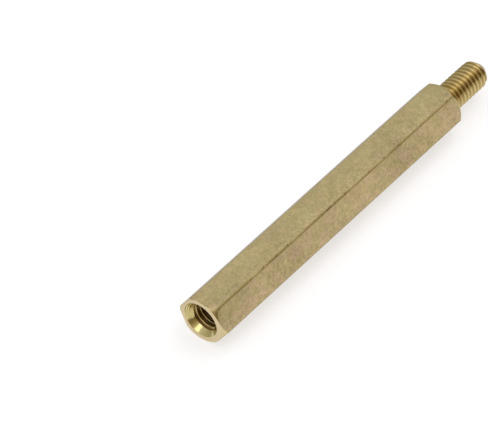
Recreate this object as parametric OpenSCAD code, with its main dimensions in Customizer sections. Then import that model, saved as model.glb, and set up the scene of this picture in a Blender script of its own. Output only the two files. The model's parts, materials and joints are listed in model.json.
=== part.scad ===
// Male-female hexagonal standoff: a brass bar with a tapped hole in one end
// and a threaded stud, turned from the same bar, on the other.
//
// The part lies on one flat. X runs from the tapped end to the stud's tip,
// Z is up, and the origin is on the surface that it lies on, at mid-length,
// straight below the axis. Lengths are in millimetres.

/* [Hexagonal body] */
// Size across the flats
across_flats = 4.5; // [4:0.1:8]
// Length between the two end faces
body_len = 35; // [16:1:60]
// Radius worn onto the six long edges
edge_r = 0.2; // [0.05:0.05:0.4]
// How far in from the sharp corners the face of the tapped end starts
tapped_chamfer = 0.3; // [0.1:0.01:0.5]
// Length along the bar of the chamfer on the tapped end's corners
tapped_chamfer_len = 0.34; // [0.1:0.01:0.8]
// How far in from the sharp corners the shoulder starts
shoulder_chamfer = 0.38; // [0.1:0.01:0.5]
// Length along the bar of the chamfer on the shoulder's corners
shoulder_chamfer_len = 0.5; // [0.1:0.01:0.8]

/* [Threaded stud] */
// Outside diameter of the stud's thread
stud_d = 2.87; // [2.6:0.01:3]
// Length of the stud beyond the shoulder
stud_len = 6; // [4:0.5:12]
// Diameter of the flat left on the stud's tip
tip_d = 1.3; // [0.8:0.1:2.2]

/* [Tapped hole] */
// Diameter of the tap drill
bore_d = 2.5; // [2:0.05:2.6]
// Depth of the drilled hole at full diameter
bore_depth = 10; // [4:0.5:12]
// Angle of the drill's point
drill_angle = 118; // [90:1:140]
// Diameter of the countersink's mouth
mouth_d = 3.7; // [2.7:0.1:4]
// Angle of the countersink
countersink_angle = 90; // [60:1:120]

/* [Hidden] */

// Facets round every turned surface
round_fn = 96;
// Straight steps in the arc along each long edge
edge_steps = 6;
// How far a cutting tool starts outside the metal, and the stud's root inside
overshoot = 1;
brass = [0.83, 0.68, 0.4];

// The hexagon: its sharp corners, and the centres of the arcs that round them
sides = 6;
side_turn = 360 / sides;
corner_r = across_flats / 2 / cos(side_turn / 2);
edge_centre_r = corner_r - edge_r / cos(side_turn / 2);

// The turned ends: radius of each face, and where the cone of its chamfer,
// carried on outside the bar, reaches the radius of the cut
tapped_face_r = corner_r - tapped_chamfer;
shoulder_r = corner_r - shoulder_chamfer;
cut_r = corner_r + overshoot;
tapped_cut_len = (cut_r - tapped_face_r) * tapped_chamfer_len / tapped_chamfer;
shoulder_cut_len = (cut_r - shoulder_r) * shoulder_chamfer_len / shoulder_chamfer;

// Stations along the bar, from the tapped end
total_len = body_len + stud_len;
tip_chamfer_len = (stud_d - tip_d) / 2;
mouth_len = (mouth_d - bore_d) / 2 / tan(countersink_angle / 2);
drill_point_len = bore_d / 2 / tan(drill_angle / 2);

// Point number i on the arc at corner number k; the first corner stands half
// a side round from the flat below
function edge_point(k, i) =
    let (corner_a = (k + 0.5) * side_turn)
    let (point_a = corner_a + (i / edge_steps - 0.5) * side_turn)
    [
        edge_centre_r * cos(corner_a) + edge_r * cos(point_a),
        edge_centre_r * sin(corner_a) + edge_r * sin(point_a)
    ];

// Section of the drawn bar, with its long edges rounded
module hexagon_section() {
    polygon([
        for (k = [0:sides - 1])
            for (i = [0:edge_steps])
                edge_point(k, i)
    ]);
}

// Everything that the lathe leaves of the bar's corners: both ends chamfered
module turned_envelope() {
    rotate_extrude($fn = round_fn)
        polygon([
            [0, 0],
            [tapped_face_r, 0],
            [cut_r, tapped_cut_len],
            [cut_r, body_len - shoulder_cut_len],
            [shoulder_r, body_len],
            [0, body_len]
        ]);
}

module hexagonal_bar() {
    intersection() {
        linear_extrude(height = body_len)
            hexagon_section();
        turned_envelope();
    }
}

// Stud turned on the end of the bar, threaded up to the shoulder, with a
// chamfered tip. The thread stands at its outside diameter.
module stud() {
    translate([0, 0, body_len])
        rotate_extrude($fn = round_fn)
            polygon([
                [0, -overshoot],
                [stud_d / 2, -overshoot],
                [stud_d / 2, stud_len - tip_chamfer_len],
                [tip_d / 2, stud_len],
                [0, stud_len]
            ]);
}

// The drilled hole with its pointed bottom and countersunk mouth.
// The thread's wall stands at the tap drill's diameter.
module tapped_hole() {
    mouth_slope = (mouth_d - bore_d) / 2 / mouth_len;
    rotate_extrude($fn = round_fn)
        polygon([
            [0, -overshoot],
            [mouth_d / 2 + overshoot * mouth_slope, -overshoot],
            [bore_d / 2, mouth_len],
            [bore_d / 2, bore_depth],
            [0, bore_depth + drill_point_len]
        ]);
}

// The whole piece, upright as it would be held in a lathe
module turned_piece() {
    difference() {
        union() {
            hexagonal_bar();
            stud();
        }
        tapped_hole();
    }
}

// Laid down along X on one flat
module standoff() {
    color(brass)
        translate([-total_len / 2, 0, across_flats / 2])
            rotate([0, 90, 0])
                turned_piece();
}

standoff();
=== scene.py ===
"""Looks of the male-female hex standoff: its threads, turned ends and brass
finish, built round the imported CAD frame. Shapes are worked out in millimetres
along the bar's axis and put into the frame in metres."""

import json
import math

import bmesh
import bpy
import numpy as np
from mathutils import Matrix, Vector


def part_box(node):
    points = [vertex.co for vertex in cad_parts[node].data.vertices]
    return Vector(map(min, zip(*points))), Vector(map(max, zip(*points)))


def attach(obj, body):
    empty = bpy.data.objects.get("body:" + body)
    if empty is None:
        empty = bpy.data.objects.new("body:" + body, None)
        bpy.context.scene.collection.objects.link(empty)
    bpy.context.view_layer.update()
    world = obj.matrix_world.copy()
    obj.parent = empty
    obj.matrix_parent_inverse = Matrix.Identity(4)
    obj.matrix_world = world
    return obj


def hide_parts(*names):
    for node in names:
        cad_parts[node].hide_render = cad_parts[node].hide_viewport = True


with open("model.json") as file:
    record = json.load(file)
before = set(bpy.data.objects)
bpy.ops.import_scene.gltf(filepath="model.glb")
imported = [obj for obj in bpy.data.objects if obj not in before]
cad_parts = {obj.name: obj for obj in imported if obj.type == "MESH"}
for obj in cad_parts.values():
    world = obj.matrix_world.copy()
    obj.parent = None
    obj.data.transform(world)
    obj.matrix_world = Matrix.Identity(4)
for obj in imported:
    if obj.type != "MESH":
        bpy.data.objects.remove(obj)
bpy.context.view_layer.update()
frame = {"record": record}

# Sizes in millimetres, taken from the frame and the record's mounts
MM = 0.001
low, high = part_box("standoff")
mounts = {mount["name"]: mount for mount in frame["record"]["mounts"]}
START_X = low.x / MM
AXIS_Z = (low.z + high.z) / 2 / MM
FLATS = (high.z - low.z) / MM
TOTAL_LEN = (high.x - low.x) / MM
BODY_LEN = mounts["shoulder"]["pos_m"][0] / MM - START_X
STUD_R = mounts["stud"]["dims"]["r_mm"]
STUD_STRAIGHT_LEN = mounts["stud"]["dims"]["length_mm"]
BORE_R = mounts["tapped_hole"]["dims"]["r_mm"]
MOUTH_LEN = mounts["tapped_hole"]["pos_m"][0] / MM - START_X

# The drilled hole and its countersink of 90 degrees, as in the CAD model
BORE_DEPTH = 10.0
DRILL_ANGLE = 118
DRILL_POINT_LEN = BORE_R / math.tan(math.radians(DRILL_ANGLE / 2))
MOUTH_R = BORE_R + MOUTH_LEN

# The rounded long edges, as in the CAD model: the distances from the axis of
# the arcs' centres and of their starts, and half the flat between two arcs
SIDES = 6
SIDE_TURN = 2 * math.pi / SIDES
EDGE_R = 0.2
CORNER_R = FLATS / 2 / math.cos(math.pi / SIDES)
EDGE_CENTRE_R = CORNER_R - EDGE_R / math.cos(math.pi / SIDES)
FLAT_HALF = EDGE_CENTRE_R * math.sin(math.pi / SIDES)
EDGE_START_R = math.hypot(FLATS / 2, FLAT_HALF)

# The turned corners, as in the CAD model: how far in from the sharp corners
# and how far along the bar
TAPPED_CHAMFER = (0.30, 0.34)
SHOULDER_CHAMFER = (0.38, 0.5)

# The bar ran a little out of true in the lathe, so the chamfer and the hole of
# the tapped end are centred this far from its axis, in y and z
TAPPED_RUN_OUT = (0.15, 0.03)
ON_AXIS = (0.0, 0.0)

# Threads: M3 x 0.5, right-hand. Crests and flanks are measured along the axis.
PITCH = 0.5
PROFILE_ROUNDING = 0.18
STUD_THREAD_DEPTH = 0.26
STUD_CREST_HALF = 0.032
STUD_FLANK_LEN = 0.15
STUD_PHASE = 0.32
HOLE_THREAD_DEPTH = 0.25
HOLE_CREST_HALF = 0.0625
HOLE_FLANK_LEN = 0.144
HOLE_PHASE = 0.15

# Where the threads run out, from the shoulder and from the tapped end, over
# what length, and the plain wall that the hole's threaded patch adds to it
STUD_RUN_OUT_START = 0.12
HOLE_THREAD_END = 7.6
RUN_OUT_LEN = 0.6
AFTER_RUN_OUT = 0.2

# Small roundings: where the thread meets the countersink and the tip's cone,
# on the turned edges, and at the stud's root
MOUTH_ROUNDING = 0.02
TIP_ROUNDING = 0.06
SOFT_EDGE = 0.03
ROOT_FILLET = 0.05

# Mesh density: points round the axis, steps round each long edge, and even
# rings along the flats, which start this far from the ends
AROUND = 180
EDGE_SEGMENTS = 8
BODY_RINGS = 26
FIRST_RING = 1.0
TURN = np.arange(AROUND) / AROUND
ROUND_ANGLE = 2 * np.pi * TURN

# Distances from the crest at which the thread profiles are sampled
STUD_STEPS = (0.0, 0.02, 0.045, 0.08, 0.14, 0.19, 0.22, 0.25)
HOLE_STEPS = (0.0, 0.045, 0.08, 0.13, 0.19, 0.225, 0.25)

# The distance within which two patches' points are one, the length under
# which an edge is none, the least length to divide by, and the angle in
# degrees from which an edge is sharp
MERGE_DISTANCE = 1e-4
NO_LENGTH = 1e-5
TINY = 1e-9
SHARP_ANGLE = 50
# How near a face's middle lies to the countersink's cone, to be part of it
CONE_TOLERANCE = 0.02

SLOT_BODY, SLOT_FACE, SLOT_CUT, SLOT_CHAMFER, SLOT_CONE, SLOT_BORE = range(6)

# Tones of the brass
TUMBLED_DARK = (0.393, 0.322, 0.154, 1.0)
TUMBLED_LIGHT = (0.464, 0.378, 0.188, 1.0)
TUMBLED_PINK = (0.500, 0.366, 0.232, 1.0)
TUMBLED_GREEN = (0.405, 0.372, 0.178, 1.0)
# Bright tone of the long edges: partly polish, partly a painted reflection of the floor
WORN_AND_SHEEN_BRIGHT = (0.53, 0.45, 0.27, 1.0)
# Painted shade on the long edge between the top and the side of negative y
SHADED_EDGE_LIGHT = (0.48, 0.392, 0.198, 1.0)
SHADED_EDGE_DARK = (0.365, 0.287, 0.127, 1.0)
NICK = (0.24, 0.18, 0.075, 1.0)
FACED_DARK = (0.62, 0.515, 0.305, 1.0)
FACED_LIGHT = (0.70, 0.585, 0.35, 1.0)
FACED_PINK = (0.68, 0.53, 0.33, 1.0)
CONE_LIGHT = (0.66, 0.56, 0.265, 1.0)
CONE_DARK = (0.58, 0.48, 0.20, 1.0)
CUT_LIGHT = (0.62, 0.495, 0.23, 1.0)
CUT_DARK = (0.55, 0.43, 0.19, 1.0)
# Painted shade in the roots of the stud's thread
CUT_ROOT_SHADE = (0.30, 0.21, 0.075, 1.0)
BORE_LIGHT = (0.60, 0.47, 0.21, 1.0)
BORE_DARK = (0.48, 0.35, 0.13, 1.0)
# Painted shade in the roots of the hole's thread
BORE_ROOT_SHADE = (0.25, 0.14, 0.045, 1.0)
CHAMFER_LIGHT = (0.64, 0.53, 0.30, 1.0)
CHAMFER_DARK = (0.57, 0.465, 0.25, 1.0)

# The range that nearly all of a noise's values lie in
NOISE_SPREAD = (0.3, 0.7)
# The more mottled side of the flats, from full at the first y to none
MOTTLED_Y = (-2.2, 0.0)
# Wear of the long edges: the width over which it starts, how much less or more
# of the flats it takes, and where it takes most: near the top, at these y, which
# widens the painted shade there. That edge is painted darker, as shade, from none
# at the first depth below the top to full at the second, and the other edges are
# bright, partly from polish and partly as a painted reflection.
WEAR_START = 0.02
WEAR_REACH = (-0.015, 0.007)
SHADED_REACH_DEPTH = 0.1
SHADED_EDGE_Y = (-1.1, 0.0)
SHADED_EDGE_DEPTH = (0.4, 0.2)
WORN_ROUGHNESS = 0.38
# How far along each of these noises is read, so that no two look alike
PINK_AT = 20.0
GREEN_AT = 40.0
SHADE_STRETCHES_AT = 60.0
NICKS_AT = 80.0
BROAD_AT = 100.0
# Marks that the countersinking tool left: their spacing, and where they show,
# from none to full, across and up from the axis. The real marks are shown only
# there, as painted highlight streaks.
TOOL_MARK = 0.14
MARKS_HIGHLIGHT_Y = (0.0, 0.9)
MARKS_HIGHLIGHT_Z = (AXIS_Z - 0.3, AXIS_Z + 0.4)
# How far from a thread's crest the painted shade of its root starts
ROOT_SHADE_START = 0.04
# The depth past the countersink over which the hole is painted darker, as shade
HOLE_SHADE_DEPTH = (0.2, 1.2)

# The floor, in metres, a little below the object: its tone, and the glow that
# the camera and the metal see, which fades in the metal between two places in y,
# as painted shade behind the object
FLOOR_HALF = 1.6
FLOOR_DROP = 0.02 * MM
FLOOR_TONE = (0.45, 0.45, 0.485, 1.0)
FLOOR_GLOW = 0.66
GLOW_SHADE_Y = (2.5, 7.0)
GLOW_IN_SHADE = 0.08

# The studio's light, by direction: brighter with height, and darker and a
# little warmer on one side. Stops of the distance along SIDE_AXIS and the light.
LEVEL = (0.58, 1.00)
SIDE_AXIS = (0.145, 1.0, 0.0)
ROOM_SIDE = (
    (-1.0, (0.35, 0.25, 0.11)),
    (-0.72, (0.35, 0.25, 0.11)),
    (-0.59, (0.53, 0.42, 0.23)),
    (-0.42, (0.72, 0.63, 0.47)),
    (-0.22, (1.0, 0.96, 0.89)),
    (-0.12, (1.0, 1.0, 1.0)),
    (0.5, (1.0, 1.0, 1.0)),
    (0.75, (0.92, 0.87, 0.72)),
    (1.0, (0.87, 0.81, 0.65)),
)
# The pale sweep at the horizon, from full at the first height to none at the
# second, and its light by the distance along SWEEP_AXIS
SWEEP_HEIGHT = (0.01, 0.10)
SWEEP_AXIS = (0.6, -0.8, 0.0)
SWEEP_SIDE = (
    (-1.0, (0.60, 0.60, 0.58)),
    (-0.35, (0.52, 0.52, 0.50)),
    (0.0, (0.36, 0.35, 0.30)),
    (0.5, (0.62, 0.60, 0.54)),
    (0.8, (0.98, 0.94, 0.88)),
    (1.0, (1.24, 1.18, 1.12)),
)

# Soft lamps that face the object: place and size in metres, and radiance
LAMPS = (
    ("ceiling_lamp", (0.30, -0.03, 0.60), 0.36, 1.75),
    ("side_lamp", (-0.57, 0.05, 0.42), 0.25, 1.55),
)

# The camera: its place in metres, its right and up, and its lens in millimetres
CAMERA_PLACE = (-0.173865, -0.115903, 0.230872)
CAMERA_RIGHT = (0.62954216, -0.77564814, 0.04523964)
CAMERA_UP = (0.55996854, 0.49331279, 0.66564084)
CAMERA_LENS = 252.48
CAMERA_SENSOR = 36.0
CAMERA_NEAR = 0.01
CAMERA_FAR = 10.0


def soft_clamp(x, width):
    """x held between 0 and 1, with both corners rounded over width."""
    low_part = np.square(np.clip(x + width, 0, 2 * width)) / (4 * width)
    high_part = np.square(np.clip(1 + width - x, 0, 2 * width)) / (4 * width)
    return np.where(x < 0.5, np.where(x < width, low_part, x),
                    np.where(x > 1 - width, 1 - high_part, x))


def soft_max(a, b, width):
    """The larger of a and b, rounded where they cross."""
    return (a + b + np.sqrt(np.square(a - b) + 4 * width * width)) / 2


def soft_min(a, b, width):
    """The smaller of a and b, rounded where they cross."""
    return -soft_max(-a, -b, width)


def thread_fall(s, turn, phase, crest_half, flank_len):
    """0 on the thread's crest, 1 on its root, at a length s along the axis and
    a share of a turn round it."""
    place = (s / PITCH - turn - phase + 0.5) % 1 - 0.5
    away = np.abs(place) * PITCH
    return soft_clamp((away - crest_half) / flank_len, PROFILE_ROUNDING)


def stud_radius(s, turn):
    """Radius of the stud's surface, s millimetres from the tapped end."""
    along = s - BODY_LEN
    fall = thread_fall(s, turn, STUD_PHASE, STUD_CREST_HALF, STUD_FLANK_LEN)
    thread = STUD_R - STUD_THREAD_DEPTH * fall
    run_out = STUD_R - STUD_THREAD_DEPTH * (along - STUD_RUN_OUT_START) / RUN_OUT_LEN
    tip = STUD_R - (along - STUD_STRAIGHT_LEN)
    thread = np.minimum(np.maximum(thread, run_out), STUD_R)
    return soft_min(thread, tip, TIP_ROUNDING)


def hole_radius(s, turn):
    """Radius of the hole's surface, s millimetres from the tapped end."""
    fall = thread_fall(s, turn, HOLE_PHASE, HOLE_CREST_HALF, HOLE_FLANK_LEN)
    thread = BORE_R + HOLE_THREAD_DEPTH * fall
    run_out = BORE_R + HOLE_THREAD_DEPTH * (1 - (s - HOLE_THREAD_END) / RUN_OUT_LEN)
    thread = np.maximum(np.minimum(thread, run_out), BORE_R)
    return soft_max(thread, MOUTH_R - s, MOUTH_ROUNDING)


def edge_point(corner_a, a):
    """The point at angle a on the arc that rounds the long edge at corner_a."""
    return (EDGE_CENTRE_R * math.cos(corner_a) + EDGE_R * math.cos(a),
            EDGE_CENTRE_R * math.sin(corner_a) + EDGE_R * math.sin(a))


def flat_point(flat_a, t):
    """The point t millimetres past the middle of the flat at flat_a."""
    return (FLATS / 2 * math.cos(flat_a) - t * math.sin(flat_a),
            FLATS / 2 * math.sin(flat_a) + t * math.cos(flat_a))


def hexagon_ring():
    """Angles and radii of the bar's section, its long edges rounded."""
    half_edge = EDGE_SEGMENTS // 2
    flat_segments = AROUND // SIDES - EDGE_SEGMENTS
    points = []
    for side in range(SIDES):
        corner_a = side * SIDE_TURN
        for i in range(half_edge):
            points.append(edge_point(corner_a, corner_a + i / EDGE_SEGMENTS * SIDE_TURN))
        flat_a = corner_a + SIDE_TURN / 2
        for i in range(flat_segments + 1):
            points.append(flat_point(flat_a, (2 * i / flat_segments - 1) * FLAT_HALF))
        next_a = corner_a + SIDE_TURN
        for i in range(1, half_edge):
            points.append(edge_point(next_a, next_a + (i / EDGE_SEGMENTS - 0.5) * SIDE_TURN))
    y, z = np.array(points).T
    return np.arctan2(z, y) % (2 * np.pi), np.hypot(y, z)


def ring(s, r, angle):
    """Points round the axis, as an array of x, y, z in millimetres."""
    s, r, angle = np.broadcast_arrays(np.asarray(s, float), r, angle)
    return np.stack([START_X + s, r * np.cos(angle), AXIS_Z + r * np.sin(angle)], -1)


def off_axis(rows, run_out):
    """Points moved sideways, in y and z."""
    return np.asarray(rows) + np.array((0.0,) + run_out)


def fillet(a, corner, b):
    """Three points round a corner, between a and b."""
    return [a, 0.25 * a + 0.5 * corner + 0.25 * b, b]


def towards(a, b, length):
    """The point at a length from a on the way to b, at most half way."""
    gap = np.linalg.norm(b - a, axis=-1, keepdims=True)
    return a + (b - a) * np.minimum(length, gap / 2) / np.maximum(gap, TINY)


class Skin:
    """The surface of the piece, gathered patch by patch."""

    def __init__(self):
        self.points = []
        self.faces = []
        self.slots = []
        self.count = 0

    def add(self, rows, slot, seam_shift=0, flip=False):
        """rows is rings of points. The last point of a row joins the first
        point of the row seam_shift further on."""
        n_rows, n = rows.shape[:2]
        k, i = np.meshgrid(np.arange(n_rows - 1), np.arange(n), indexing="ij")
        past_seam = (i + 1) // n
        near = (k + past_seam * seam_shift) * n + (i + 1) % n
        quads = np.stack([k * n + i, near, near + n, (k + 1) * n + i], -1)
        inside = k + 1 + past_seam * seam_shift < n_rows
        quads = quads[inside] + self.count
        self.faces.append(quads[:, ::-1] if flip else quads)
        self.slots.append(np.full(len(quads), slot))
        self.points.append(rows.reshape(-1, 3))
        self.count += n_rows * n

    def thread(self, radius, start, end, steps, phase, slot, run_out=ON_AXIS, flip=False):
        """A patch whose rows follow the thread from start to end. It begins
        two turns early and is held to its ends, so that both are filled."""
        signed = sorted([-d for d in steps[1:-1]] + list(steps))
        shares = [d / PITCH for d in signed]
        first = math.floor(start / PITCH - phase) - 2
        turns = math.ceil((end - start) / PITCH) + 4
        places = [first + t + share for t in range(turns) for share in shares]
        s = (np.array(places)[:, None] + TURN[None, :] + phase) * PITCH
        s = np.clip(s, start, end)
        rows = ring(s, radius(s, TURN[None, :]), ROUND_ANGLE[None, :])
        self.add(off_axis(rows, run_out), slot, len(shares), flip)


def add_hole(skin):
    """The drilled hole, from the drill's point up to the countersink's mouth."""
    thread_end = HOLE_THREAD_END + RUN_OUT_LEN + AFTER_RUN_OUT
    bore = [ring(BORE_DEPTH + DRILL_POINT_LEN, 0.0, ROUND_ANGLE),
            ring(BORE_DEPTH + DRILL_POINT_LEN * 0.5, BORE_R * 0.5, ROUND_ANGLE),
            ring(BORE_DEPTH, BORE_R, ROUND_ANGLE),
            ring((BORE_DEPTH + thread_end) / 2, BORE_R, ROUND_ANGLE),
            ring(thread_end, hole_radius(thread_end, TURN), ROUND_ANGLE)]
    skin.add(off_axis(bore, TAPPED_RUN_OUT), SLOT_BORE)
    skin.thread(hole_radius, SOFT_EDGE, thread_end, HOLE_STEPS, HOLE_PHASE, SLOT_BORE,
                TAPPED_RUN_OUT, flip=True)


def add_mouth(skin):
    """The rounded edge between the countersink and the tapped end's face."""
    mouth_in = ring(SOFT_EDGE, hole_radius(SOFT_EDGE, TURN), ROUND_ANGLE)
    mouth_out = ring(0.0, MOUTH_R + SOFT_EDGE, ROUND_ANGLE)
    mouth = fillet(mouth_in, ring(0.0, MOUTH_R, ROUND_ANGLE), mouth_out)
    skin.add(off_axis(mouth, TAPPED_RUN_OUT), SLOT_FACE)


def end_rings(face_s, inward, chamfer, run_out, inner_r, section):
    """Rings from the inner edge of an end face, over the turned corner and
    onto the bar's flats. inward is 1 at the tapped end and -1 at the shoulder.
    section is the bar's angles and radii."""
    hex_angle, hex_r = section
    chamfer_in, chamfer_along = chamfer
    turned_r = CORNER_R - chamfer_in
    outward = run_out[0] * np.cos(hex_angle) + run_out[1] * np.sin(hex_angle)
    sideways = run_out[0] * np.sin(hex_angle) - run_out[1] * np.cos(hex_angle)
    face_r = outward + np.sqrt(turned_r ** 2 - sideways ** 2)
    rim_r = np.minimum(hex_r, face_r)
    chamfer_len = (hex_r - rim_r) * chamfer_along / chamfer_in
    rim = ring(face_s, rim_r, hex_angle)
    flat_start = ring(face_s + inward * chamfer_len, hex_r, hex_angle)
    on_flat = ring(face_s + inward * (chamfer_len + SOFT_EDGE), hex_r, hex_angle)
    inner = off_axis(ring(face_s, inner_r, ROUND_ANGLE), run_out)
    outer = ring(face_s, rim_r - SOFT_EDGE, hex_angle)
    face = [inner, (inner + outer) / 2, outer]
    rim_edge = fillet(outer, rim, towards(rim, flat_start, SOFT_EDGE))
    flat_edge = fillet(towards(flat_start, rim, SOFT_EDGE), flat_start, on_flat)
    return face, rim_edge, flat_edge


def add_body(skin):
    """The tapped end's face and corners, the bar's flats, and the corners and
    the face of the shoulder."""
    section = hexagon_ring()
    face, rim, flat = end_rings(0.0, 1, TAPPED_CHAMFER, TAPPED_RUN_OUT, MOUTH_R + SOFT_EDGE, section)
    far_face, far_rim, far_flat = end_rings(
        BODY_LEN, -1, SHOULDER_CHAMFER, ON_AXIS, STUD_R + ROOT_FILLET, section)
    hex_angle, hex_r = section
    along = np.linspace(FIRST_RING, BODY_LEN - FIRST_RING, BODY_RINGS)
    between = [ring(s, hex_r, hex_angle) for s in along]
    skin.add(np.array(face + rim[1:2]), SLOT_FACE)
    skin.add(np.array(rim[1:] + flat[:2]), SLOT_CHAMFER)
    skin.add(np.array(flat[1:] + between + far_flat[:0:-1]), SLOT_BODY)
    skin.add(np.array(far_flat[1::-1] + far_rim[:0:-1]), SLOT_CHAMFER)
    skin.add(np.array(far_rim[1:2] + far_face[::-1]), SLOT_FACE)


def add_stud(skin):
    """The stud, from its root in the shoulder to its tip."""
    thread_start = BODY_LEN + ROOT_FILLET
    thread_end = TOTAL_LEN - SOFT_EDGE
    root = fillet(ring(BODY_LEN, STUD_R + ROOT_FILLET, ROUND_ANGLE),
                  ring(BODY_LEN, STUD_R, ROUND_ANGLE),
                  ring(thread_start, stud_radius(thread_start, TURN), ROUND_ANGLE))
    skin.add(np.array(root), SLOT_CUT)
    skin.thread(stud_radius, thread_start, thread_end, STUD_STEPS, STUD_PHASE, SLOT_CUT)
    tip_r = stud_radius(thread_end, TURN)
    tip_edge = fillet(ring(thread_end, tip_r, ROUND_ANGLE),
                      ring(TOTAL_LEN, tip_r - SOFT_EDGE, ROUND_ANGLE),
                      ring(TOTAL_LEN, tip_r - 3 * SOFT_EDGE, ROUND_ANGLE))
    skin.add(np.array(tip_edge), SLOT_CUT)
    tip = [tip_edge[-1],
           ring(TOTAL_LEN, tip_r / 2, ROUND_ANGLE),
           ring(TOTAL_LEN, 0.0, ROUND_ANGLE)]
    skin.add(np.array(tip), SLOT_FACE)


def face_slots(skin, centres):
    """Each face's slot, with the countersink's cone told from the bore."""
    slots = np.concatenate(skin.slots)
    across = centres[:, 1] - TAPPED_RUN_OUT[0]
    up = centres[:, 2] - AXIS_Z - TAPPED_RUN_OUT[1]
    cone_r = MOUTH_R - (centres[:, 0] - START_X)
    on_cone = np.abs(np.hypot(across, up) - cone_r) < CONE_TOLERANCE
    slots[(slots == SLOT_BORE) & on_cone] = SLOT_CONE
    return slots.astype(np.int32)


def join_patches(mesh):
    """One closed surface out of the patches, smooth but for its sharp edges."""
    shape = bmesh.new()
    shape.from_mesh(mesh)
    bmesh.ops.remove_doubles(shape, verts=shape.verts, dist=MERGE_DISTANCE * MM)
    bmesh.ops.dissolve_degenerate(shape, edges=shape.edges, dist=NO_LENGTH * MM)
    loose = [v for v in shape.verts if not v.link_faces]
    bmesh.ops.delete(shape, geom=loose, context="VERTS")
    for face in shape.faces:
        face.smooth = True
    for edge in shape.edges:
        edge.smooth = edge.calc_face_angle(0) < math.radians(SHARP_ANGLE)
    shape.to_mesh(mesh)
    shape.free()
    mesh.validate()


def make_standoff(materials):
    """The whole piece. materials are in the order of the slots."""
    skin = Skin()
    add_hole(skin)
    add_mouth(skin)
    add_body(skin)
    add_stud(skin)
    points = np.concatenate(skin.points)
    faces = np.concatenate(skin.faces)
    mesh = bpy.data.meshes.new("standoff_brass")
    mesh.from_pydata((points * MM).tolist(), [], faces.tolist())
    for material in materials:
        mesh.materials.append(material)
    mesh.polygons.foreach_set("material_index", face_slots(skin, points[faces].mean(1)))
    join_patches(mesh)
    piece = bpy.data.objects.new("standoff_brass", mesh)
    bpy.context.scene.collection.objects.link(piece)
    weighted = piece.modifiers.new("normals", "WEIGHTED_NORMAL")
    weighted.keep_sharp = True
    return piece


class Nodes:
    """A node tree, with short calls to add and join its nodes."""

    def __init__(self, tree):
        self.tree = tree

    def add(self, kind, **settings):
        node = self.tree.nodes.new(kind)
        for key, value in settings.items():
            setattr(node, key, value)
        return node

    def put(self, socket, value):
        """Joins a socket to another, or sets its constant."""
        if isinstance(value, bpy.types.NodeSocket):
            self.tree.links.new(value, socket)
        else:
            socket.default_value = value

    def math(self, operation, a, b=0.0, c=0.0):
        node = self.add("ShaderNodeMath", operation=operation)
        for socket, value in zip(node.inputs, (a, b, c)):
            self.put(socket, value)
        return node.outputs[0]

    def mix(self, share, a, b, blend="MIX"):
        node = self.add("ShaderNodeMix", data_type="RGBA", blend_type=blend)
        self.put(node.inputs["Factor"], share)
        self.put(node.inputs["A"], a)
        self.put(node.inputs["B"], b)
        return node.outputs["Result"]

    def scaled(self, tone, factor):
        """A tone made lighter or darker."""
        node = self.add("ShaderNodeCombineColor")
        for socket in node.inputs[:3]:
            self.put(socket, factor)
        return self.mix(1.0, tone, node.outputs[0], "MULTIPLY")

    def remap(self, value, given, wanted, **settings):
        """A value in the range given, carried over to the range wanted."""
        node = self.add("ShaderNodeMapRange", **settings)
        for socket, v in zip(node.inputs, (value, *given, *wanted)):
            self.put(socket, v)
        return node.outputs[0]

    def share(self, value, none_at, full_at):
        """0 up to the first value, 1 from the second on."""
        return self.remap(value, (none_at, full_at), (0.0, 1.0))

    def between(self, share, a, b):
        """a where the share is 0 and b where it is 1."""
        return self.remap(share, (0.0, 1.0), (a, b))

    def noise(self, vector, scale, detail, roughness):
        node = self.add("ShaderNodeTexNoise")
        self.put(node.inputs["Vector"], vector)
        return self.noise_value(node, scale, detail, roughness)

    def noise_along(self, distance, scale, detail, roughness):
        """A noise of one number, which makes rings or bands."""
        node = self.add("ShaderNodeTexNoise", noise_dimensions="1D")
        self.put(node.inputs["W"], distance)
        return self.noise_value(node, scale, detail, roughness)

    def noise_value(self, node, scale, detail, roughness):
        self.put(node.inputs["Scale"], scale)
        self.put(node.inputs["Detail"], detail)
        self.put(node.inputs["Roughness"], roughness)
        return node.outputs[0]

    def shifted(self, vector, distance):
        """The same place in another part of a noise."""
        node = self.add("ShaderNodeVectorMath", operation="ADD")
        self.put(node.inputs[0], vector)
        self.put(node.inputs[1], (distance, distance, distance))
        return node.outputs[0]

    def part(self, vector, axis):
        """A vector's X, Y or Z."""
        node = self.add("ShaderNodeSeparateXYZ")
        self.put(node.inputs[0], vector)
        return node.outputs[axis]

    def millimetres(self):
        """Place on the object, in millimetres."""
        node = self.add("ShaderNodeVectorMath", operation="SCALE")
        self.put(node.inputs[0], self.add("ShaderNodeTexCoord").outputs["Object"])
        self.put(node.inputs["Scale"], 1 / MM)
        return node.outputs[0]

    def axis_distance(self, place, run_out=ON_AXIS):
        """Distance from an axis along the bar, in millimetres."""
        across = self.math("SUBTRACT", self.part(place, "Y"), run_out[0])
        up = self.math("SUBTRACT", self.part(place, "Z"), AXIS_Z + run_out[1])
        across_squared = self.math("MULTIPLY", across, across)
        return self.math("SQRT", self.math("MULTIPLY_ADD", up, up, across_squared))


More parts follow.
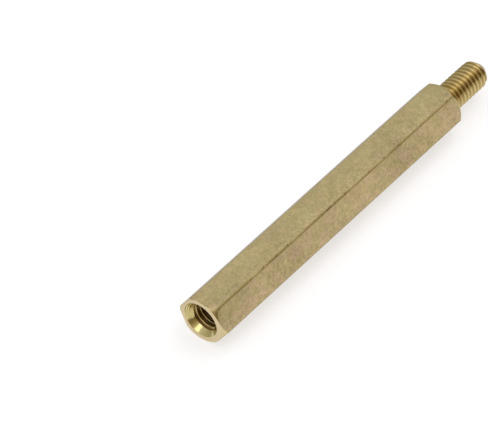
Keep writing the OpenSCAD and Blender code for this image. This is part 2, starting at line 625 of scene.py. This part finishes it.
class MaterialNodes(Nodes):
    """The nodes of a new material."""

    def __init__(self, name):
        self.material = bpy.data.materials.new(name)
        self.material.use_nodes = True
        super().__init__(self.material.node_tree)
        self.inputs = self.tree.nodes["Principled BSDF"].inputs

    def spotted(self, spots, light, dark):
        """A light tone with darker spots, by a noise."""
        return self.mix(self.share(spots, 0.35, 0.7), light, dark)

    def metal(self, tone, roughness, relief, depth, strength):
        """The finished metal. relief is a noise, and depth in millimetres."""
        bump = self.add("ShaderNodeBump")
        self.put(bump.inputs["Strength"], strength)
        self.put(bump.inputs["Distance"], depth * MM)
        self.put(bump.inputs["Height"], relief)
        self.put(self.inputs["Base Color"], tone)
        self.put(self.inputs["Metallic"], 1.0)
        self.put(self.inputs["Roughness"], roughness)
        self.put(self.inputs["Normal"], bump.outputs[0])
        return self.material


def flat_tone(n, place, grain):
    """Tone of the flats: fine grain and broad mottling, with faint pinkish and
    greenish patches. The side of negative y is pinker and more mottled."""
    patches = n.noise(place, scale=1.1, detail=3.0, roughness=0.6)
    broad = n.noise(n.shifted(place, BROAD_AT), scale=0.25, detail=3.0, roughness=0.6)
    pink = n.noise(n.shifted(place, PINK_AT), scale=0.9, detail=5.0, roughness=0.65)
    green = n.noise(n.shifted(place, GREEN_AT), scale=0.8, detail=5.0, roughness=0.65)
    one_side = n.remap(n.part(place, "Y"), MOTTLED_Y, (1.0, 0.0))
    pink_strength = n.between(one_side, 0.35, 1.0)
    green_strength = n.between(one_side, 1.0, 0.5)
    fine_strength = n.between(one_side, 0.09, 0.26)
    broad_strength = n.between(one_side, 0.09, 0.16)
    tone = n.mix(n.share(patches, 0.35, 0.65), TUMBLED_DARK, TUMBLED_LIGHT)
    pink_share = n.math("MULTIPLY", n.remap(pink, (0.40, 0.62), (0.0, 0.85)), pink_strength)
    tone = n.mix(pink_share, tone, TUMBLED_PINK)
    green_share = n.math("MULTIPLY", n.remap(green, (0.48, 0.68), (0.0, 0.6)), green_strength)
    tone = n.mix(green_share, tone, TUMBLED_GREEN)
    fine = n.math("MULTIPLY", n.remap(grain, NOISE_SPREAD, (-1.0, 1.0)), fine_strength)
    wide = n.math("MULTIPLY", n.remap(broad, NOISE_SPREAD, (-1.0, 1.0)), broad_strength)
    return n.scaled(tone, n.math("ADD", n.math("ADD", fine, wide), 1.0))


# Where the painted shade of the long edge lies: towards the side of negative y
def shaded_edge_side(n, place):
    """1 towards the side of negative y, and 0 on the other."""
    return n.remap(n.part(place, "Y"), SHADED_EDGE_Y, (1.0, 0.0))


def worn_and_shaded_edge_share(n, place):
    """1 on the worn long edges and 0 on the flats. They reach further onto the
    flats along the edge between the top and the side of negative y, which widens
    the painted shade there."""
    top_share = n.share(n.part(place, "Z"), FLATS - SHADED_REACH_DEPTH, FLATS)
    # There the edge's tone, and so its painted shade, reaches further onto the flats
    shaded_reach = n.math("MULTIPLY", top_share, shaded_edge_side(n, place))
    reach = n.between(shaded_reach, *WEAR_REACH)
    distance = n.math("ADD", n.axis_distance(place), reach)
    return n.share(distance, EDGE_START_R - WEAR_START, EDGE_START_R)


def edge_wear_and_painted_light_tone(n, place):
    """Tone of the long edges. The one between the top and the side of negative y
    is painted darker as shade, in lighter and darker stretches, with clearer
    nicks. The others are bright, partly from polish and partly as a painted
    reflection."""
    shade_stretches = n.noise(n.shifted(place, SHADE_STRETCHES_AT), scale=0.3, detail=2.0, roughness=0.6)
    nicks = n.noise(n.shifted(place, NICKS_AT), scale=2.6, detail=2.0, roughness=0.5)
    shaded_edge_z = [FLATS - depth for depth in SHADED_EDGE_DEPTH]
    top_share = n.share(n.part(place, "Z"), *shaded_edge_z)
    painted_shade_share = n.math("MULTIPLY", top_share, shaded_edge_side(n, place))
    # Painted shade on the top edge of negative y; elsewhere the bright tone is partly a painted
    # reflection
    painted_shade_tone = n.mix(n.share(shade_stretches, 0.37, 0.57), SHADED_EDGE_LIGHT, SHADED_EDGE_DARK)
    tone = n.mix(painted_shade_share, WORN_AND_SHEEN_BRIGHT, painted_shade_tone)
    nick_share = n.math("MULTIPLY", n.share(nicks, 0.58, 0.66), n.between(painted_shade_share, 0.2, 0.9))
    return n.mix(nick_share, tone, NICK)


def tumbled_brass():
    """The drawn flats, dulled by tumbling, with their worn long edges, one of them
    painted darker as shade and the others partly painted brighter as a reflection.
    """
    n = MaterialNodes("brass_tumbled")
    place = n.millimetres()
    grain = n.noise(place, scale=3.6, detail=3.0, roughness=0.55)
    worn_and_shaded = worn_and_shaded_edge_share(n, place)
    tone = n.mix(worn_and_shaded, flat_tone(n, place, grain), edge_wear_and_painted_light_tone(n, place))
    flat_roughness = n.remap(grain, NOISE_SPREAD, (0.22, 0.30))
    roughness = n.math("ADD", flat_roughness, n.math("MULTIPLY", worn_and_shaded, WORN_ROUGHNESS))
    return n.metal(tone, roughness, grain, depth=0.006, strength=0.8)


def faced_brass():
    """The end faces, with the lathe tool's rings."""
    n = MaterialNodes("brass_faced")
    place = n.millimetres()
    rings = n.noise_along(n.axis_distance(place), scale=9.0, detail=2.0, roughness=0.7)
    spots = n.noise(place, scale=3.0, detail=3.0, roughness=0.6)
    tone = n.mix(n.share(rings, 0.35, 0.65), FACED_DARK, FACED_LIGHT)
    tone = n.mix(n.remap(spots, (0.4, 0.7), (0.0, 0.5)), tone, FACED_PINK)
    return n.metal(tone, roughness=0.3, relief=rings, depth=0.006, strength=0.7)


def countersink_brass():
    """The countersink's cone, with the marks of the tool that cut it. They are
    shown strongest on the upper side of positive y, as painted highlight streaks."""
    n = MaterialNodes("brass_countersink")
    place = n.millimetres()
    distance = n.axis_distance(place, TAPPED_RUN_OUT)
    marks = n.math("SINE", n.math("MULTIPLY", distance, 2 * math.pi / TOOL_MARK))
    spots = n.noise(place, scale=3.0, detail=3.0, roughness=0.6)
    # The tool marks are shown only on one side, as painted highlight streaks
    side_share = n.share(n.part(place, "Y"), *MARKS_HIGHLIGHT_Y)
    top_share = n.remap(n.part(place, "Z"), MARKS_HIGHLIGHT_Z, (0.1, 1.0))
    marks_and_highlight = n.math("MULTIPLY", marks, n.math("MULTIPLY", side_share, top_share))
    tone = n.spotted(spots, CONE_LIGHT, CONE_DARK)
    tone = n.scaled(tone, n.remap(marks_and_highlight, (-1.0, 1.0), (0.30, 1.50)))
    return n.metal(tone, roughness=0.18, relief=marks_and_highlight, depth=0.001, strength=0.5)


def cut_brass():
    """The stud's thread, bright from the die, with painted shade towards its roots."""
    n = MaterialNodes("brass_cut")
    place = n.millimetres()
    spots = n.noise(place, scale=3.0, detail=3.0, roughness=0.6)
    grain = n.noise(place, scale=9.0, detail=3.0, roughness=0.6)
    root_to_crest = (STUD_R - STUD_THREAD_DEPTH, STUD_R - ROOT_SHADE_START)
    # Painted shade towards the thread's roots
    root_shade_share = n.remap(n.axis_distance(place), root_to_crest, (1.0, 0.0))
    tone = n.mix(root_shade_share, n.spotted(spots, CUT_LIGHT, CUT_DARK), CUT_ROOT_SHADE)
    roughness = n.remap(spots, NOISE_SPREAD, (0.22, 0.30))
    return n.metal(tone, roughness, grain, depth=0.005, strength=0.6)


def bore_brass():
    """The tapped hole, brown, with painted shade that darkens it with depth
    and at its thread roots.
    """
    n = MaterialNodes("brass_bore")
    place = n.millimetres()
    spots = n.noise(place, scale=4.0, detail=3.0, roughness=0.6)
    # Painted shade: darker with depth in the hole
    shade_x = [START_X + MOUTH_LEN + depth for depth in HOLE_SHADE_DEPTH]
    painted_shade = n.remap(n.part(place, "X"), shade_x, (1.0, 0.42))
    tone = n.scaled(n.spotted(spots, BORE_LIGHT, BORE_DARK), painted_shade)
    distance = n.axis_distance(place, TAPPED_RUN_OUT)
    # Painted shade at the thread's roots
    root_shade_share = n.share(distance, BORE_R + ROOT_SHADE_START, BORE_R + HOLE_THREAD_DEPTH)
    tone = n.mix(root_shade_share, tone, BORE_ROOT_SHADE)
    roughness = n.remap(spots, NOISE_SPREAD, (0.24, 0.36))
    return n.metal(tone, roughness, spots, depth=0.01, strength=0.6)


def chamfer_brass():
    """The turned corners, tumbled a little."""
    n = MaterialNodes("brass_chamfer")
    spots = n.noise(n.millimetres(), scale=5.0, detail=3.0, roughness=0.6)
    tone = n.spotted(spots, CHAMFER_LIGHT, CHAMFER_DARK)
    return n.metal(tone, roughness=0.24, relief=spots, depth=0.008, strength=0.6)


def floor_white():
    """White to the eye and in the metal, with the object's shadow kept, and
    not there for a camera below it. In the metal its glow fades behind the object,
    as painted shade."""
    n = MaterialNodes("floor_white")
    n.put(n.inputs["Base Color"], FLOOR_TONE)
    n.put(n.inputs["Roughness"], 1.0)
    n.put(n.inputs["Specular IOR Level"], 0.0)
    ray = n.add("ShaderNodeLightPath").outputs
    mirrored = n.math("MAXIMUM", ray["Is Glossy Ray"], ray["Is Transmission Ray"])
    # Painted shade: the glow that the metal sees fades behind the object
    painted_shade = n.remap(n.part(n.millimetres(), "Y"), GLOW_SHADE_Y, (1.0, GLOW_IN_SHADE))
    seen = n.math("MAXIMUM", ray["Is Camera Ray"], n.math("MULTIPLY", mirrored, painted_shade))
    n.put(n.inputs["Emission Color"], (1.0, 1.0, 1.0, 1.0))
    n.put(n.inputs["Emission Strength"], n.math("MULTIPLY", seen, FLOOR_GLOW))
    backfacing = n.add("ShaderNodeNewGeometry").outputs["Backfacing"]
    below = n.math("MULTIPLY", backfacing, ray["Is Camera Ray"])
    n.put(n.inputs["Alpha"], n.math("SUBTRACT", 1.0, below))
    return n.material


def make_floor():
    mesh = bpy.data.meshes.new("floor")
    corners = [(-FLOOR_HALF, -FLOOR_HALF, 0), (FLOOR_HALF, -FLOOR_HALF, 0),
               (FLOOR_HALF, FLOOR_HALF, 0), (-FLOOR_HALF, FLOOR_HALF, 0)]
    mesh.from_pydata(corners, [], [(0, 1, 2, 3)])
    mesh.materials.append(floor_white())
    floor = bpy.data.objects.new("floor", mesh)
    floor.location.z = -FLOOR_DROP
    bpy.context.scene.collection.objects.link(floor)


def ramp_along(n, direction, axis, stops):
    """Light by a direction's distance along an axis, from -1 to 1."""
    along = n.add("ShaderNodeVectorMath", operation="DOT_PRODUCT")
    n.put(along.inputs[0], direction)
    n.put(along.inputs[1], axis)
    ramp = n.add("ShaderNodeValToRGB")
    n.put(ramp.inputs[0], n.share(along.outputs["Value"], -1.0, 1.0))
    elements = ramp.color_ramp.elements
    while len(elements) < len(stops):
        elements.new(0.5)
    for element, (position, light) in zip(elements, stops):
        element.position = (position + 1) / 2
        element.color = (*light, 1.0)
    return ramp.outputs["Color"]


def make_world():
    """A plain studio: bright overhead, darker on one side, with a pale sweep
    all round at the horizon."""
    world = bpy.data.worlds.new("studio")
    bpy.context.scene.world = world
    world.use_nodes = True
    n = Nodes(world.node_tree)
    direction = n.add("ShaderNodeTexCoord").outputs["Generated"]
    height = n.part(direction, "Z")
    level = n.remap(height, (0.0, 1.0), LEVEL)
    room = n.mix(1.0, ramp_along(n, direction, SIDE_AXIS, ROOM_SIDE), level, "MULTIPLY")
    sweep = ramp_along(n, direction, SWEEP_AXIS, SWEEP_SIDE)
    sweep_share = n.remap(height, SWEEP_HEIGHT, (1.0, 0.0), interpolation_type="SMOOTHSTEP")
    background = world.node_tree.nodes["Background"]
    n.put(background.inputs["Color"], n.mix(sweep_share, room, sweep))


def make_lamp(name, place, size, radiance):
    """A soft square lamp that faces the origin, whose face shows that radiance."""
    data = bpy.data.lights.new(name, "AREA")
    data.shape = "SQUARE"
    data.size = size
    data.energy = radiance * math.pi * size * size
    lamp = bpy.data.objects.new(name, data)
    lamp.location = place
    lamp.rotation_euler = (-Vector(place)).to_track_quat("-Z", "Y").to_euler()
    bpy.context.scene.collection.objects.link(lamp)


def make_camera():
    data = bpy.data.cameras.new("camera")
    data.lens = CAMERA_LENS
    data.sensor_width = CAMERA_SENSOR
    data.clip_start = CAMERA_NEAR
    data.clip_end = CAMERA_FAR
    camera = bpy.data.objects.new("camera", data)
    right = Vector(CAMERA_RIGHT)
    up = Vector(CAMERA_UP)
    turn = Matrix((right, up, right.cross(up))).transposed()
    camera.matrix_world = Matrix.Translation(CAMERA_PLACE) @ turn.to_4x4()
    bpy.context.scene.collection.objects.link(camera)
    bpy.context.scene.camera = camera


def main():
    bpy.context.scene.view_settings.view_transform = "Standard"
    make_camera()
    make_world()
    for lamp in LAMPS:
        make_lamp(*lamp)
    make_floor()
    piece = make_standoff([tumbled_brass(), faced_brass(), cut_brass(), chamfer_brass(),
                           countersink_brass(), bore_brass()])
    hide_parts("standoff")
    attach(piece, "root")


main()
